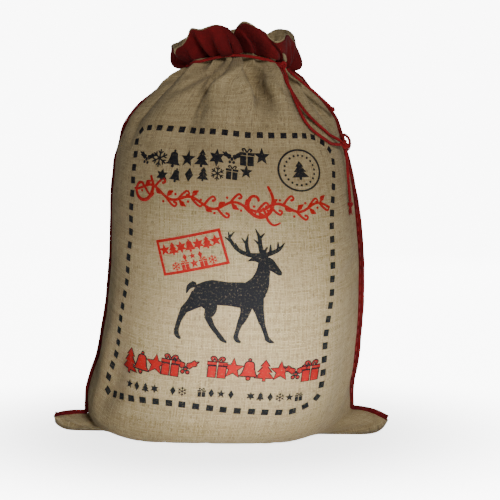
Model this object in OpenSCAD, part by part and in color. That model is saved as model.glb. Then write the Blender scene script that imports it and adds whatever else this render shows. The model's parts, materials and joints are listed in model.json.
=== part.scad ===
// Fabric gift sack: a filled-out jute sack, gathered at the neck by a drawstring.
// Millimetres, +Z up. The origin is the middle of the base, on the floor. The printed front faces -Y.

/* [Cloth] */
// Thickness that the jute cloth is given, so that it is a closed solid
cloth_thick = 3; // [2:0.5:5]
// Exponent of the sack's rounded, nearly oval plan (2 is an ellipse)
plan_exponent = 2.4; // [2:0.1:3]
// Number of small gathers round the neck
gather_count = 12; // [8:1:16]
// Depth of a gather at the neck
gather_depth = 4; // [0:0.5:6]

/* [Neck] */
// Height of the gathered neck at its two sides
neck_z = 514; // [505:1:520]
// How much the neck line rises at the front and the back
neck_rise = 16; // [0:1:25]

/* [Mouth frill] */
// Height of the cloth frill above the drawstring
frill_h = 42; // [30:1:50]
// How far the frill flares out to the sides
frill_flare_x = 15; // [5:1:25]
// How far the frill flares out to the front and the back
frill_flare_y = 12; // [5:1:20]
// Number of waves round the lip
wave_count = 7; // [5:1:9]
// Depth of a wave at the lip
wave_depth = 6; // [2:0.5:8]
// Thickness of the frill's jute
frill_thick = 2; // [1:0.5:3]
// Thickness of the red band round the mouth
band_thick = 1.2; // [0.8:0.1:2]

/* [Side bindings] */
// How far a side binding stands out from the cloth
binding_out = 5; // [3:0.5:8]
// Thickness of a binding, front to back
binding_thick = 3.2; // [2:0.2:5]
// Distance from one stitch to the next
stitch_pitch = 12; // [8:1:20]
// Length of a stitch
stitch_len = 7; // [4:0.5:7]

/* [Drawstring] */
// Diameter of the drawstring
cord_d = 4.5; // [4:0.5:5]
// Radius of the knot at the neck
neck_knot_r = 8; // [6:0.5:8]
// Radius of the lower knot, where the long tail starts
slip_knot_r = 7; // [5:0.5:7]
// Radius of the stopper knot at each cord's end
end_knot_r = 4.5; // [3:0.5:4.5]
// Length of the frayed tuft below the long tail's knot
tuft_len = 11; // [6:1:14]

/* [Hidden] */

jute = [0.62, 0.54, 0.42];
red_cloth = [0.50, 0.07, 0.06];
red_cord = [0.62, 0.08, 0.07];
thread_red = [0.40, 0.05, 0.05];

// The sack's plan at each height: [z, half width, half depth, middle in x].
// The middle moves to +x with height because the filled sack leans.
profile = [
    [0, 160, 90, -6], [6, 178, 106, -6], [18, 186, 120, -5], [40, 187, 131, -4], [70, 184, 137, -2],
    [115, 179, 140, 11], [180, 176, 140, 19], [250, 173, 139, 23], [340, 168, 135, 20],
    [385, 161, 129, 18], [427, 150, 118, 18], [450, 140, 107, 19], [472, 119, 89, 21],
    [484, 106, 78, 23], [496, 90, 64, 26], [506, 78, 54, 28], [514, 70, 46, 29]
];
half_width = [for (p = profile) [p[0], p[1]]];
half_depth = [for (p = profile) [p[0], p[2]]];
middle_x = [for (p = profile) [p[0], p[3]]];

// How far the pointed bottom corners stand out past the plan, by height
ear_right = [[0, 25], [4, 46], [10, 57], [17, 54], [24, 40], [31, 28], [40, 8], [50, 2], [60, 0]];
ear_left = [[0, 28], [4, 40], [10, 45], [17, 44.5], [24, 41], [29, 31], [33, 8], [45, 2], [60, 0]];
ear_sharpness = 30;

ring_levels = [0, 4, 10, 17, 24, 31, 40, 50, 70, 95, 140, 195, 250, 300, 345, 385, 410, 430, 450,
               462, 474, 484, 494, 504, 514];
ring_points = 60;
flute_start_z = 440;
saddle_start_z = 400;

function smooth(t) = let (c = min(max(t, 0), 1)) c * c * (3 - 2 * c);
function rounded(v) = sign(v) * pow(abs(v), 2 / plan_exponent);
function unit(v) = v / norm(v);

// A point of the sack's side at angle t and height z; inset moves it inwards, ears 0 leaves the corners out.
function neck_lift(t, z) = neck_rise * pow(sin(t), 2) * smooth((z - saddle_start_z) / (neck_z - saddle_start_z));
function gather(t, z) = gather_depth * smooth((z - flute_start_z) / (neck_z - flute_start_z)) * cos(gather_count * t);
function ear(t, z) =
    let (out = cos(t) > 0 ? lookup(z, ear_right) : -lookup(z, ear_left))
    out * pow(abs(cos(t)), ear_sharpness);
function side_point(t, z, inset = 0, ears = 1) = [
    lookup(z, middle_x) + (lookup(z, half_width) + gather(t, z) - inset) * rounded(cos(t)) + ears * ear(t, z),
    (lookup(z, half_depth) + gather(t, z) - inset) * rounded(sin(t)),
    z + neck_lift(t, z)
];

// Two triangles in place of the four-sided face a, b, c, d
function halves(a, b, c, d) = [[a, b, c], [a, c, d]];

// Faces that join two neighbouring rows of n points
function band_faces(r, n) = [
    for (i = [0:n - 1])
        let (j = (i + 1) % n)
        each halves(r * n + i, (r + 1) * n + i, (r + 1) * n + j, r * n + j)
];

// Faces that close a long flat row of n points from its first point on, pairing both of its sides
function strip_faces(first, n) = [
    for (i = [0:n / 2 - 2])
        each halves(first + i, first + i + 1, first + n - 2 - i, first + n - 1 - i)
];

// Closed skin from rows of points that all go round the same way. A flat end takes one face, a strip takes many.
module skin(rows, strip_ends = false) {
    n = len(rows[0]);
    last = len(rows) - 1;
    end_first = last * n;
    strip_last = [for (f = strip_faces(end_first, n)) [f[2], f[1], f[0]]];
    first_cap = strip_ends ? strip_faces(0, n) : [[for (i = [0:n - 1]) i]];
    last_cap = strip_ends ? strip_last : [[for (i = [0:n - 1]) end_first + n - 1 - i]];
    polyhedron(
        points = [for (row = rows) each row],
        faces = concat(first_cap, [for (r = [0:last - 1]) each band_faces(r, n)], last_cap),
        convexity = 6
    );
}

// The sack's jute: one length of cloth folded at the base, sewn up both sides, open at the neck.
floor_taper_z = 40;
function inner_level(z) = z + cloth_thick * (1.15 - 0.95 * min(z / floor_taper_z, 1));
module sack_cloth() {
    step = 360 / ring_points;
    inner_inset = cloth_thick + 2;
    outer = [for (z = ring_levels) [for (i = [0:ring_points - 1]) side_point(i * step, z)]];
    inner = [
        for (k = [len(ring_levels) - 1:-1:0])
            let (z = ring_levels[k], top = k == len(ring_levels) - 1)
            [
                for (i = [0:ring_points - 1])
                    let (p = side_point(i * step, z, z < floor_taper_z ? inner_inset : cloth_thick, 0))
                    [p[0], p[1], top ? p[2] : p[2] + inner_level(z) - z]
            ]
    ];
    color(jute) skin(concat(outer, inner));
}

// Seam line of one side, from the tip of the bottom corner up to the neck: side is 1 (right) or -1 (left).
seam_levels = [10, 17, 24, 31, 40, 50, 70, 95, 140, 195, 250, 300, 345, 385, 410, 430, 450, 462, 474,
               484, 494, 503, 509];
function seam_x(side, z) = side_point(side > 0 ? 0 : 180, z)[0];
module side_binding(side) {
    root = 0.6;
    rows = [
        for (z = seam_levels)
            let (x = seam_x(side, z))
            [
                [x - side * root, -binding_thick / 2, z], [x + side * binding_out, -binding_thick / 2, z],
                [x + side * binding_out, binding_thick / 2, z], [x - side * root, binding_thick / 2, z]
            ]
    ];
    color(red_cloth) skin(side > 0 ? rows : [for (row = rows) [row[3], row[2], row[1], row[0]]]);
}
module side_binding_left() { side_binding(-1); }
module side_binding_right() { side_binding(1); }

// Thread of one side seam: a row of stitches through the binding.
module side_stitching(side) {
    first_z = 64;
    last_z = 498;
    thread_w = 1;
    stitch_proud = 0.5;
    color(thread_red)
    for (z = [first_z:stitch_pitch:last_z]) {
        slope = atan2(seam_x(side, z + 4) - seam_x(side, z - 4), 8);
        translate([seam_x(side, z) + side * binding_out / 2, 0, z])
        rotate([0, slope, 0])
        cube([thread_w, binding_thick + 2 * stitch_proud, stitch_len], center = true);
    }
}
module side_stitching_left() { side_stitching(-1); }
module side_stitching_right() { side_stitching(1); }

// Frill above the drawstring. v is 0 at the drawstring and 1 at the lip; out moves the surface outwards.
frill_gap = 3;
side_droop = 12;
frill_steps_v = 6;
front_cut_x = 46;
side_cut_x = 52;
front_steps = 18;
side_steps = 14;
band_start_v = 0.22;
band_clear = 0.3;
neck_a = lookup(neck_z, half_width);
neck_b = lookup(neck_z, half_depth);
neck_x = lookup(neck_z, middle_x);
function frill_a(v) = neck_a + frill_flare_x * v;
function frill_wave(t, v) = (1 + (wave_depth - 1) * v) * cos(wave_count * t + 40);
function frill_point(t, v, out = 0) =
    let (w = frill_wave(t, v) + out)
    [
        neck_x + (frill_a(v) + w) * rounded(cos(t)),
        (neck_b + frill_flare_y * v + w) * rounded(sin(t)),
        neck_z + frill_gap + neck_rise * pow(sin(t), 2) + frill_h * v - side_droop * v * v * pow(cos(t), 2)
    ];
// Angle at which the frill reaches a given distance from the neck's middle in x
function cut_angle(x, v) = acos(pow(x / frill_a(v), plan_exponent / 2));
function patch_start(which, v) =
    which == "front" ? 180 + cut_angle(front_cut_x, v) :
    which == "back" ? cut_angle(front_cut_x, v) :
    which == "right" ? -cut_angle(side_cut_x, v) : 180 - cut_angle(side_cut_x, v);
function patch_sweep(which, v) =
    which == "front" || which == "back" ? 180 - 2 * cut_angle(front_cut_x, v) : 2 * cut_angle(side_cut_x, v);

// One quarter of the frill, from v0 to the lip, between two offsets from the frill's own surface.
module frill_patch(which, v0, out_low, out_high) {
    steps = which == "front" || which == "back" ? front_steps : side_steps;
    rows = [
        for (k = [0:frill_steps_v])
            let (v = v0 + (1 - v0) * k / frill_steps_v)
            concat(
                [for (i = [0:steps]) frill_point(patch_start(which, v) + patch_sweep(which, v) * i / steps, v, out_high)],
                [for (i = [steps:-1:0]) frill_point(patch_start(which, v) + patch_sweep(which, v) * i / steps, v, out_low)]
            )
    ];
    skin(rows, strip_ends = true);
}
module frill(which) { color(jute) frill_patch(which, 0, -frill_thick, 0); }
module mouth_band(which) { color(red_cloth) frill_patch(which, band_start_v, band_clear, band_clear + band_thick); }
module frill_front() { frill("front"); }
module frill_back() { frill("back"); }
module frill_left() { frill("left"); }
module frill_right() { frill("right"); }
module mouth_band_front() { mouth_band("front"); }
module mouth_band_back() { mouth_band("back"); }
module mouth_band_left() { mouth_band("left"); }
module mouth_band_right() { mouth_band("right"); }

// Cord tube swept along a route; ref is a direction that the route never runs along.
cord_sides = 8;
function along(p, i) = unit(p[min(i + 1, len(p) - 1)] - p[max(i - 1, 0)]);
function cord_ring(c, t, ref) =
    let (u = unit(cross(ref, t)), w = cross(t, u))
    [for (k = [0:cord_sides - 1]) c + cord_d / 2 * (cos(k * 360 / cord_sides) * u + sin(k * 360 / cord_sides) * w)];
module cord(route, ref = [0, 1, 0]) {
    color(red_cord) skin([for (i = [0:len(route) - 1]) cord_ring(route[i], along(route, i), ref)]);
}

// Drawstring pulled round the neck: one turn just outside the cloth, with its ends inside the neck knot.
neck_cord_out = 4.8;
neck_cord_drop = 0;
neck_cord_steps = 34;
neck_cord_start = -37;
function neck_cord_point(t) = [
    neck_x + (neck_a + gather_depth + neck_cord_out) * rounded(cos(t)),
    (neck_b + gather_depth + neck_cord_out) * rounded(sin(t)),
    neck_z - neck_cord_drop + neck_rise * pow(sin(t), 2)
];
module neck_drawstring() {
    cord([for (i = [0:neck_cord_steps]) neck_cord_point(neck_cord_start + 4 + 352 * i / neck_cord_steps)], [0, 0, 1]);
}

// Routes of the drawstring's free ends, by hand, over the front right shoulder.
neck_knot_at = [91, -47, 517];
slip_knot_at = [177, -41, 411];
upper_route = [
    [94, -50, 512], [103, -54, 499], [112, -60, 486], [121, -68, 473], [133, -74, 457], [143, -73, 445],
    [154, -66, 434], [164, -55, 424], [173, -44, 414]
];
lower_route = [
    [90, -52, 512], [96, -67, 494], [104, -73, 482], [115, -80, 467], [128, -85, 449], [140, -82, 435],
    [153, -74, 422], [164, -60, 413], [173, -46, 410]
];
loop_route = [
    [176, -34, 416], [174, -25, 422], [177, -16, 422], [182, -12, 416], [183, -15, 408], [181, -24, 403],
    [179, -34, 405]
];
long_route = [[178.5, -41.5, 403], [182, -44, 390], [184, -45, 378], [186, -46, 366], [187, -47, 354], [189, -48, 342], [190, -48, 333]];
short_route = [[99, -46, 513], [109, -48, 504], [122, -44, 493], [135, -41, 482], [147, -38, 471], [156, -33, 462]];
long_end_at = [190.3, -48, 329];
short_end_at = [160, -30, 458];

module neck_knot() { color(red_cord) translate(neck_knot_at) cord_knot(neck_knot_r); }
module slip_knot() { color(red_cord) translate(slip_knot_at) cord_knot(slip_knot_r); }
module upper_strand() { cord(upper_route); }
module lower_strand() { cord(lower_route); }
module small_loop() { cord(loop_route, [1, 0, 0]); }
module long_tail() { cord(long_route); }
module short_tail() { cord(short_route); }
module long_tail_knot() { color(red_cord) translate(long_end_at) cord_knot(end_knot_r); }
module short_tail_knot() { color(red_cord) translate(short_end_at) cord_knot(end_knot_r); }

// Knot of cord: a core with two crossing turns of cord round it, inside a sphere of radius r.
module cord_knot(r) {
    turn_r = min(cord_d, r) / 2;
    sphere(r = r - turn_r / 3, $fn = 32);
    for (tilt = [[70, 0, 20], [-60, 30, 0]])
        rotate(tilt)
        rotate_extrude($fn = 40)
        translate([r - turn_r, 0])
        circle(r = turn_r, $fn = 24);
}

// Frayed end of the long tail below its knot.
module long_tail_tuft() {
    top_r = 2;
    end_r = 3.6;
    color(red_cord)
    translate(long_end_at - [0, 0, end_knot_r - 0.6 + tuft_len])
    cylinder(h = tuft_len, r1 = end_r, r2 = top_r, $fn = 32);
}

sack_cloth();
side_binding_left();
side_binding_right();
side_stitching_left();
side_stitching_right();
frill_front();
frill_back();
frill_left();
frill_right();
mouth_band_front();
mouth_band_back();
mouth_band_left();
mouth_band_right();
neck_drawstring();
neck_knot();
upper_strand();
lower_strand();
slip_knot();
small_loop();
long_tail();
long_tail_knot();
long_tail_tuft();
short_tail();
short_tail_knot();
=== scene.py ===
"""Looks of the fabric gift sack: jute cloth, red bindings, mouth frill, drawstring and print."""
import json
import math
import bpy
import numpy as np
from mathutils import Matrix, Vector
from mathutils.geometry import delaunay_2d_cdt

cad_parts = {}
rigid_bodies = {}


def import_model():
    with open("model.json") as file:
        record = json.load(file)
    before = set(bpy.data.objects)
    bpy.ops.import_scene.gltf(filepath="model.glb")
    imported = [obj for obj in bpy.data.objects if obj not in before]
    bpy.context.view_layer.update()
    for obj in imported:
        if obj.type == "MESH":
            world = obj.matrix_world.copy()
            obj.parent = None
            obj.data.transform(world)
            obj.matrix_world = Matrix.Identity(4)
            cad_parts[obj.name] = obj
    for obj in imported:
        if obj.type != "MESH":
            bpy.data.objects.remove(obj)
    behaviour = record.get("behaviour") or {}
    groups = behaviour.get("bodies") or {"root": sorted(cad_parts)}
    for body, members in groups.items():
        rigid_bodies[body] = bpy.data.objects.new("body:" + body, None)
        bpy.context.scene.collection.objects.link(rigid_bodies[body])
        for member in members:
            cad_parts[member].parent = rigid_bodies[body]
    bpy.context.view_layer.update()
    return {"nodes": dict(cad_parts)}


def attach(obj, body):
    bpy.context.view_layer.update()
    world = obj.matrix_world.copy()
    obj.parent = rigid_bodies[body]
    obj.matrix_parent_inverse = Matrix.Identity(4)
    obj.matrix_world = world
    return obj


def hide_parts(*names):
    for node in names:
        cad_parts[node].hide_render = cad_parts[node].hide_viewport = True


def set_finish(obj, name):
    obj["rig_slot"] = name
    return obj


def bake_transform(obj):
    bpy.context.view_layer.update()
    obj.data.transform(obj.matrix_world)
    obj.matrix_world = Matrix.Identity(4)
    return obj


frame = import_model()
scene = bpy.context.scene
MM = 0.001
SQUARE = ((-1, -1), (1, -1), (1, 1), (-1, 1))


# ---------------------------------------------------------------- camera, floor and lights
CAMERA_TURN, CAMERA_RISE = math.radians(5), math.radians(5.5)
CAMERA_DISTANCE = 3.0
VIEW_WIDTH = 0.7            # how much the picture takes in at the sack
VIEW_RIGHT, VIEW_UP = 0.0434, 0.260
SENSOR_MM = 36
FLOOR_REACH = 40.0
# Strengths of the white surroundings: as lighting, and as they look to the eye.
WORLD_RIGHT, WORLD_BEHIND, WORLD_OVERHEAD = 0.10, 0.3, 0.4
FLOOR_GLOW_NEAR, FLOOR_GLOW_FAR = 0.15, 0.6
# The first number is how bright the floor looks close to the sack: a painted shadow, weaker than the white
# around it.
FLOOR_SEEN_IN_PAINTED_SHADOW, WHITE_SEEN = 3.0, 9.0


def add_camera():
    """A long lens, a little to the right and a little above."""
    right = Vector((math.cos(CAMERA_TURN), math.sin(CAMERA_TURN), 0))
    back = Vector((
        math.sin(CAMERA_TURN) * math.cos(CAMERA_RISE),
        -math.cos(CAMERA_TURN) * math.cos(CAMERA_RISE),
        math.sin(CAMERA_RISE),
    ))
    target = right * VIEW_RIGHT + Vector((0, 0, VIEW_UP))
    data = bpy.data.cameras.new("camera")
    data.sensor_width = SENSOR_MM
    data.lens = SENSOR_MM * CAMERA_DISTANCE / VIEW_WIDTH
    camera = bpy.data.objects.new("camera", data)
    scene.collection.objects.link(camera)
    camera.location = target + back * CAMERA_DISTANCE
    camera.rotation_euler = (-back).to_track_quat("-Z", "Y").to_euler()
    scene.camera = camera


def add_light(name, location, power, size, aim, spread=180):
    data = bpy.data.lights.new(name, "AREA")
    data.energy, data.size, data.spread = power, size, math.radians(spread)
    light = bpy.data.objects.new(name, data)
    scene.collection.objects.link(light)
    light.location = location
    light.rotation_euler = (Vector(aim) - Vector(location)).to_track_quat("-Z", "Y").to_euler()


def smooth_step(tree, value, low, high, from_strength, to_strength):
    """A strength that changes smoothly from one number to another while the value goes from low to high."""
    node = tree.nodes.new("ShaderNodeMapRange")
    node.interpolation_type = "SMOOTHSTEP"
    tree.links.new(value, node.inputs[0])
    for socket, number in zip(list(node.inputs)[1:5], (low, high, from_strength, to_strength)):
        socket.default_value = number
    return node.outputs[0]


def seen_as(tree, lighting, seen):
    """The strength that lights the sack, swapped for a plain bright one where the eye meets it directly."""
    node = tree.nodes.new("ShaderNodeMix")
    tree.links.new(tree.nodes.new("ShaderNodeLightPath").outputs["Is Camera Ray"], node.inputs[0])
    tree.links.new(lighting, node.inputs[2])
    if isinstance(seen, bpy.types.NodeSocket):
        tree.links.new(seen, node.inputs[3])
    else:
        node.inputs[3].default_value = seen
    return node.outputs[0]


def add_floor():
    """A wide white floor: it looks as pale as the surroundings, with a painted shadow that makes it a little
    darker close to the sack.
    """
    mesh = bpy.data.meshes.new("floor")
    mesh.from_pydata([(x * FLOOR_REACH, y * FLOOR_REACH, 0) for x, y in SQUARE], [], [(0, 1, 2, 3)])
    floor = bpy.data.objects.new("floor", mesh)
    scene.collection.objects.link(floor)
    paper = bpy.data.materials.new("floor_paper")
    paper.use_nodes = True
    tree = paper.node_tree
    shader = tree.nodes["Principled BSDF"]
    shader.inputs["Base Color"].default_value = (0.9, 0.9, 0.9, 1)
    shader.inputs["Roughness"].default_value = 0.9
    shader.inputs["Emission Color"].default_value = (1, 1, 1, 1)
    length = tree.nodes.new("ShaderNodeVectorMath")
    length.operation = "LENGTH"
    tree.links.new(tree.nodes.new("ShaderNodeTexCoord").outputs["Object"], length.inputs[0])
    distance = length.outputs["Value"]
    lighting = smooth_step(tree, distance, 0.30, 1.0, FLOOR_GLOW_NEAR, FLOOR_GLOW_FAR)
    # Painted shadow: to the eye the floor glows less near the sack, like a soft contact shadow.
    seen = smooth_step(tree, distance, 0.15, 0.60, FLOOR_SEEN_IN_PAINTED_SHADOW, WHITE_SEEN)
    tree.links.new(seen_as(tree, lighting, seen), shader.inputs["Emission Strength"])
    mesh.materials.append(paper)


def add_world():
    """White surroundings, which give a dim light from the right and a little from behind the sack."""
    world = bpy.data.worlds.new("world")
    scene.world = world
    world.use_nodes = True
    tree = world.node_tree
    background = tree.nodes["Background"]
    background.inputs[0].default_value = (1, 1, 1, 1)
    way = tree.nodes.new("ShaderNodeSeparateXYZ")
    tree.links.new(tree.nodes.new("ShaderNodeTexCoord").outputs["Generated"], way.inputs[0])

    def combine(operation, first, second):
        node = tree.nodes.new("ShaderNodeMath")
        node.operation = operation
        tree.links.new(first, node.inputs[0])
        tree.links.new(second, node.inputs[1])
        return node.outputs[0]

    from_right = smooth_step(tree, way.outputs[0], -0.7, 0.3, 0.0, WORLD_RIGHT)
    overhead = smooth_step(tree, way.outputs[2], 0.15, 0.8, 1.0, WORLD_OVERHEAD)
    behind = smooth_step(tree, way.outputs[1], 0.86, 0.96, 0.0, WORLD_BEHIND)
    strength = combine("ADD", combine("MULTIPLY", from_right, overhead), behind)
    tree.links.new(seen_as(tree, strength, WHITE_SEEN), background.inputs[1])


add_camera()
add_floor()
add_world()
add_light("low_beam", (0.7, -1.8, 0.2), 0.60, 0.15, aim=(0.02, -0.1, 0.14), spread=14)
add_light("key", (0.7, -2.1, 1.2), 30, 0.4, aim=(0, 0, 0.3))
add_light("back_fill", (0.2, 2.4, 0.9), 16, 1.2, aim=(0, 0, 0.3))

# ---------------------------------------------------------------- the sack's form, in millimetres
PLAN_EXPONENT = 2.4
NECK_Z, NECK_RISE = 514.0, 16.0
PROFILE = np.array([  # height, half width, half depth, middle in x
    [0, 160, 90, -6], [6, 178, 106, -6], [18, 186, 120, -5], [40, 187, 131, -4], [70, 184, 137, -2],
    [115, 179, 140, 11], [180, 176, 140, 19], [250, 173, 139, 23], [340, 168, 135, 20],
    [385, 161, 129, 18], [427, 150, 118, 18], [450, 140, 107, 19], [472, 119, 89, 21],
    [484, 106, 78, 23], [496, 90, 64, 26], [506, 78, 54, 28], [514, 70, 46, 29],
], float)
FLAT_W = 500.0          # width of the sack laid flat
CELL = 6.25             # cloth cell
COLS = int(FLAT_W / CELL)
NECK_S = 675.0          # cloth from the base fold up to the drawstring
ROWS = int(NECK_S / CELL)
GATHER_S = 530.0        # the gathers start here
LEAN = math.tan(math.radians(2.6))      # the filled sack leans a little to the right side
EAR_Z = (31.0, 40.0)    # height of the seam along the left and the right bottom corner
EAR_TIP_Z = 24.0
EAR_RUN = 62.0          # cloth along a bottom corner's seam
EAR_ROOT, EAR_OUT = 184.0, 56.0
FOLD_Z = 1.5            # the base fold's middle line
LOWEST_Z = 1.2
SIDE_INSET = 1.0        # how far the gathers stay inside the outline at the sides, in gather depths


def ease(t):
    t = np.clip(t, 0, 1)
    return t * t * (3 - 2 * t)


def profile(z, column):
    return np.interp(z, PROFILE[:, 0], PROFILE[:, column])


def neck_lift(z):
    return NECK_RISE * ease((z - 400) / (NECK_Z - 400))


def arc_table(across):
    """Cloth length up the sack from the edge of its base, against height; across is the profile's column."""
    z = np.linspace(0, NECK_Z, 800)
    lift = neck_lift(z) if across == 2 else 0 * z
    reach = profile(z, across)
    length = np.concatenate([[0], np.cumsum(np.hypot(np.diff(reach), np.diff(z + lift)))])
    return z, length


def smooth_along(values, window):
    """Running mean of a row of numbers, with its ends repeated."""
    half = window // 2
    padded = np.concatenate([np.full(half, values[0]), values, np.full(half, values[-1])])
    return np.convolve(padded, np.ones(2 * half + 1) / (2 * half + 1), "valid")


def smooth_round(values, reach):
    """Running mean of a closed ring of numbers, over that many neighbours on each side."""
    kernel = np.ones(2 * reach + 1) / (2 * reach + 1)
    return np.convolve(np.concatenate([values[-reach:], values, values[:reach]]), kernel, "valid")


def row_levels():
    """For each cloth row: height at a panel's middle, (height, half width) at each seam, and half depth."""
    s = np.arange(ROWS + 1) * CELL
    z, front = arc_table(2)
    floor_run = PROFILE[0, 2]
    front = (front + floor_run) * NECK_S / (front[-1] + floor_run)
    z_mid = np.interp(s, front, z)
    base_edge = front[0]
    half_d = np.where(s > base_edge, profile(z_mid, 2), s * floor_run / base_edge)
    seams = []
    for start_z in EAR_Z:
        side_z, side = arc_table(1)
        side = side - np.interp(start_z, side_z, side) + EAR_RUN
        along = s * side[-1] / NECK_S
        share = np.clip(along / EAR_RUN, 0, 1)
        z_seam = np.where(along > EAR_RUN, np.interp(along, side, side_z),
                          EAR_TIP_Z + (start_z - EAR_TIP_Z) * (1 - (1 - share) ** 2.5))
        half_w = np.where(along > EAR_RUN, profile(z_seam, 1), EAR_ROOT + EAR_OUT * (1 - share))
        seams.append((smooth_along(z_seam, 3), half_w))
    return s, z_mid, seams, half_d


def gathered(s):
    """0 below the gathers, rising to 1 at the drawstring."""
    return np.clip((s - GATHER_S) / (NECK_S - GATHER_S), 0, 1)


def pleats(t, s):
    """Radial shape of the gathers: rounded ridges, sharp valleys, one broad ridge at the front's middle."""

    def warped(angle):
        return angle + 0.10 * np.sin(2 * angle + 0.4) + 0.05 * np.sin(5 * angle + 1.3)

    near = gathered(s)
    turn = warped(t) - warped(1.5 * math.pi)
    broad = 2 * np.abs(np.cos(5.5 * turn)) - 1
    fine = np.cos(22 * turn + 0.8 * np.sin(3 * t))
    uneven = 1 + 0.3 * np.sin(3 * t + 0.6) + 0.2 * np.sin(7 * t + 2.0)
    large = broad * uneven * near ** 1.2 * (1 - 0.45 * ease((near - 0.75) / 0.25))
    return large + 0.75 * fine * ease((near - 0.62) / 0.38)


def ring(s, half_w, half_d, middle):
    """One closed row of the cloth in plan, in 2 * COLS equal steps from the left seam round the front."""
    half_turn = 720
    t = np.linspace(math.pi, 3 * math.pi, 2 * half_turn + 1)
    c, d = np.cos(t), np.sin(t)
    shape = pleats(t, s) - SIDE_INSET * gathered(s) ** 1.2 * np.abs(c) ** 3

    def plan(depth):
        ex = (half_w + depth * shape) * np.sign(c) * np.abs(c) ** (2 / PLAN_EXPONENT)
        ey = (half_d + depth * shape) * np.sign(d) * np.abs(d) ** (2 / PLAN_EXPONENT)
        return middle + ex, ey

    def girth(depth):
        x, y = plan(depth)
        return np.hypot(np.diff(x), np.diff(y)).sum()

    depth = 0.0
    if s > GATHER_S:
        low, high = 0.0, 0.30 * half_d
        for _ in range(24):
            depth = (low + high) / 2
            if girth(depth) < 2 * FLAT_W:
                low = depth
            else:
                high = depth
    x, y = plan(depth)
    steps = np.concatenate([[0], np.cumsum(np.hypot(np.diff(x), np.diff(y)))])
    half = steps[half_turn]
    share = np.arange(COLS) / COLS
    want = np.concatenate([share * half, half + share * (steps[-1] - half)])
    return np.interp(want, steps, x), np.interp(want, steps, y), np.interp(want, steps, t)


def sack_grid():
    """Cloth points, [row, column, xyz]. Column 0 is the left seam, COLS the right one; the front is first."""
    s, z_mid, seams, half_d = row_levels()
    grid = np.zeros((ROWS + 1, 2 * COLS, 3))
    flat_x = np.concatenate([np.arange(COLS) * CELL - FLAT_W / 2, FLAT_W / 2 - np.arange(COLS) * CELL])
    edge = np.abs(flat_x) / (FLAT_W / 2)
    right = flat_x > 0
    for r in range(ROWS + 1):
        (left_z, left_w), (right_z, right_w) = ((z[r], w[r]) for z, w in seams)
        z_seam = np.where(right, right_z, left_z)
        half_w = (left_w + right_w) / 2
        middle = profile((left_z + right_z) / 2, 3)
        x, y, t = ring(s[r], half_w, half_d[r], middle)
        fold = ease(1 - s[r] / 130)
        x = x * (1 - fold) + (middle + flat_x / (FLAT_W / 2) * np.where(right, right_w, left_w)) * fold
        toward_seam = edge ** 3
        z = z_mid[r] * (1 - toward_seam) + z_seam * toward_seam
        z = z + neck_lift(z_mid[r]) * np.sin(t) ** 2
        tilt = LEAN * ease(z_mid[r] / 120) * (1 - ease((z_mid[r] - 430) / 80))
        grid[r, :, 0], grid[r, :, 1], grid[r, :, 2] = x, y, z - tilt * (x - middle)
    grid[0, :, 2] = FOLD_Z + (EAR_TIP_Z - FOLD_Z) * edge ** 24
    grid[:, :, 2] = np.maximum(grid[:, :, 2], LOWEST_Z)
    return grid


def refine(grid):
    """Doubles a cloth grid with a smooth cubic; rows are open, columns go round."""
    rows, cols = grid.shape[:2]
    wide = np.empty((rows, cols * 2, 3))
    wide[:, 0::2] = grid
    a, b, c, d = (np.roll(grid, k, axis=1) for k in (1, 0, -1, -2))
    wide[:, 1::2] = (9 * (b + c) - a - d) / 16
    tall = np.empty((rows * 2 - 1, cols * 2, 3))
    tall[0::2] = wide
    padded = np.concatenate([[2 * wide[0] - wide[1]], wide, [2 * wide[-1] - wide[-2]]])
    tall[1::2] = (9 * (padded[1:-2] + padded[2:-1]) - padded[:-3] - padded[3:]) / 16
    return tall


def add_mesh(name, points, faces, uvs=None):
    """A new smooth object from points in millimetres; uvs gives each face corner its flat place."""
    mesh = bpy.data.meshes.new(name)
    mesh.from_pydata((np.asarray(points, float) * MM).tolist(), [], faces)
    if uvs is not None:
        layer = mesh.uv_layers.new(name="cloth")
        layer.data.foreach_set("uv", np.asarray(uvs, np.float32).ravel())
    mesh.validate()
    mesh.update()
    mesh.polygons.foreach_set("use_smooth", [True] * len(mesh.polygons))
    made = bpy.data.objects.new(name, mesh)
    scene.collection.objects.link(made)
    return made


def unit(v):
    return v / np.maximum(np.linalg.norm(v, axis=-1, keepdims=True), 1e-9)


def grid_faces(ids, closed=True):
    """Faces between neighbouring rows of a grid of vertex numbers, and each corner's (column, row).
    Corners that share a vertex are merged, as along the base fold."""
    faces, places = [], []
    rows, cols = ids.shape
    for r in range(rows - 1):
        for k in range(cols if closed else cols - 1):
            j = (k + 1) % cols
            corners = [ids[r, k], ids[r, j], ids[r + 1, j], ids[r + 1, k]]
            where = [(k, r), (k + 1, r), (k + 1, r + 1), (k, r + 1)]
            kept = [i for i in range(4) if corners[i] != corners[i - 1]]
            if len({int(corners[i]) for i in kept}) > 2:
                faces.append([int(corners[i]) for i in kept])
                places.extend(where[i] for i in kept)
    return faces, places


def fold_ids(rows, cols):
    """Vertex numbers of a sack grid; at the base fold the back shares the front's vertices."""
    ids = np.arange(rows * cols).reshape(rows, cols)
    half = cols // 2
    for k in range(half + 1, cols):
        ids[0, k] = ids[0, cols - k]
    return ids


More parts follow.
